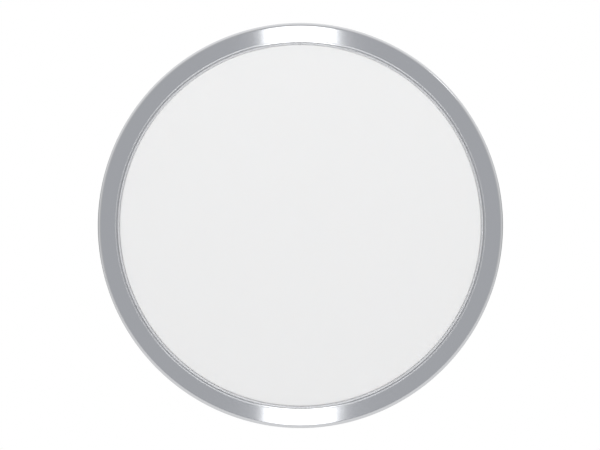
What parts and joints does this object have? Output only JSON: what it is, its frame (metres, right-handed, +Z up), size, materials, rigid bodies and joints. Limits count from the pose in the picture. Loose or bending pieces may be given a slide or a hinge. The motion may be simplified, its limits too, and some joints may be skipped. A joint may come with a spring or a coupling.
{
  "type": "wall thermostat",
  "caption": "Round wall thermostat: blank white press-to-select face in a turning polished metal ring, on a wall base with push-in terminals and a spirit level.",
  "frame": {"origin": "the middle of the two wall screw holes, on the wall plane at the back of the base plate", "axes": "+Z up, +Y into the wall, the face looks along -Y, +X to the viewer's right"},
  "size_m": [0.084, 0.029, 0.084],
  "materials": {
    "white_cover": "satin white translucent polycarbonate",
    "polished_metal": "polished bright plate",
    "bright_trim": "fine brushed bright plate",
    "white_plastic": "fine moulded texture",
    "grey_plastic": "fine moulded texture",
    "dark_plastic": "moulded",
    "light_block": "moulded",
    "tab_plastic": "moulded",
    "foam": "closed-cell foam",
    "clear_tube": "clear moulded tube",
    "level_liquid": "yellow-green liquid",
    "board": "solder mask over glass laminate",
    "board_black": "black solder mask",
    "steel": "zinc plated",
    "spring_steel": "bright wire and strip",
    "tin": "tin plated",
    "gold": "gold plated contacts",
    "brass": "plain brass with ceramic",
    "alloy": "machined",
    "magnet": "plastic-bonded magnet",
    "chip": "moulded package",
    "lamp": "white lamp package",
    "cable": "polyimide film",
    "cell": "sleeved steel can"
  },
  "bodies": {
    "wall_base": {"base_plate": "white_plastic", "draft_seal": "foam", "level_vial": "clear_tube", "level_fluid": "level_liquid", "terminal_circuit_board": "board", "terminal_board_screws": "steel", "terminal_block_left": "light_block", "terminal_block_right": "light_block", "terminal_clips": "spring_steel", "base_socket": "dark_plastic", "base_socket_contacts": "gold", "retaining_springs": "spring_steel"},
    "head": {"rear_housing": "grey_plastic", "battery_lower": "cell", "battery_upper": "cell", "battery_contacts": "tin", "sounder": "brass", "housing_screws": "steel", "interface_board": "board", "head_plug": "dark_plastic", "head_plug_contacts": "gold", "board_connectors": "dark_plastic", "internal_cables": "cable", "temperature_board": "board", "sensor_chips": "chip", "middle_frame": "grey_plastic", "bearing_circlip": "spring_steel", "bearing_inner_race": "steel", "ring_sensor_flex": "cable", "main_board": "board", "board_screws": "steel", "main_chips": "chip", "radio_shield": "tin", "board_small_parts": "tin", "power_parts": "chip", "display_board": "board_black", "display_lamps": "lamp", "light_baffle": "dark_plastic", "select_switch_body": "chip", "face_return_springs": "spring_steel"},
    "ring": {"control_ring": "polished_metal", "ring_carrier": "alloy", "bearing_outer_race": "steel", "ring_magnet": "magnet", "ring_retainer": "dark_plastic"},
    "ball_cage": {"bearing_balls": "spring_steel", "bearing_cage": "white_plastic"},
    "face": {"face_cover": "white_cover", "face_bezel": "bright_trim", "face_carrier": "white_plastic", "face_stop_screws": "steel"},
    "switch_stem": {"select_switch_stem": "dark_plastic"},
    "terminal_tab_1_body": {"terminal_tab_1": "tab_plastic"},
    "terminal_tab_2_body": {"terminal_tab_2": "tab_plastic"},
    "terminal_tab_3_body": {"terminal_tab_3": "tab_plastic"},
    "terminal_tab_4_body": {"terminal_tab_4": "tab_plastic"},
    "terminal_tab_5_body": {"terminal_tab_5": "tab_plastic"},
    "terminal_tab_6_body": {"terminal_tab_6": "tab_plastic"},
    "terminal_tab_7_body": {"terminal_tab_7": "tab_plastic"},
    "terminal_tab_8_body": {"terminal_tab_8": "tab_plastic"}
  },
  "joints": [
    {"name": "head_release", "type": "slide", "parent": "wall_base", "child": "head", "axis": [0, -1, 0], "range_m": [0, 0.045], "deforming": ["retaining_springs"]},
    {"name": "ring_turn", "type": "hinge", "parent": "head", "child": "ring", "pos_m": [0, -0.0235, 0], "axis": [0, -1, 0], "continuous": true},
    {"name": "ball_cage_turn", "type": "hinge", "parent": "head", "child": "ball_cage", "pos_m": [0, -0.0235, 0], "axis": [0, -1, 0], "continuous": true},
    {"name": "face_press", "type": "slide", "parent": "head", "child": "face", "axis": [0, 1, 0], "range_m": [0, 0.0005], "stiffness_N_per_m": 1500, "deforming": ["face_return_springs"]},
    {"name": "select_switch_press", "type": "slide", "parent": "head", "child": "switch_stem", "axis": [0, 1, 0], "range_m": [0, 0.0005]},
    {"name": "terminal_tab_1_press", "type": "slide", "parent": "wall_base", "child": "terminal_tab_1_body", "axis": [0, 1, 0], "range_m": [0, 0.0008], "stiffness_N_per_m": 900},
    {"name": "terminal_tab_2_press", "type": "slide", "parent": "wall_base", "child": "terminal_tab_2_body", "axis": [0, 1, 0], "range_m": [0, 0.0008], "stiffness_N_per_m": 900},
    {"name": "terminal_tab_3_press", "type": "slide", "parent": "wall_base", "child": "terminal_tab_3_body", "axis": [0, 1, 0], "range_m": [0, 0.0008], "stiffness_N_per_m": 900},
    {"name": "terminal_tab_4_press", "type": "slide", "parent": "wall_base", "child": "terminal_tab_4_body", "axis": [0, 1, 0], "range_m": [0, 0.0008], "stiffness_N_per_m": 900},
    {"name": "terminal_tab_5_press", "type": "slide", "parent": "wall_base", "child": "terminal_tab_5_body", "axis": [0, 1, 0], "range_m": [0, 0.0008], "stiffness_N_per_m": 900},
    {"name": "terminal_tab_6_press", "type": "slide", "parent": "wall_base", "child": "terminal_tab_6_body", "axis": [0, 1, 0], "range_m": [0, 0.0008], "stiffness_N_per_m": 900},
    {"name": "terminal_tab_7_press", "type": "slide", "parent": "wall_base", "child": "terminal_tab_7_body", "axis": [0, 1, 0], "range_m": [0, 0.0008], "stiffness_N_per_m": 900},
    {"name": "terminal_tab_8_press", "type": "slide", "parent": "wall_base", "child": "terminal_tab_8_body", "axis": [0, 1, 0], "range_m": [0, 0.0008], "stiffness_N_per_m": 900}
  ],
  "couplings": [
    {"joint": "ball_cage_turn", "follows": "ring_turn", "ratio": 0.5138},
    {"joint": "select_switch_press", "follows": "face_press", "ratio": 1}
  ]
}
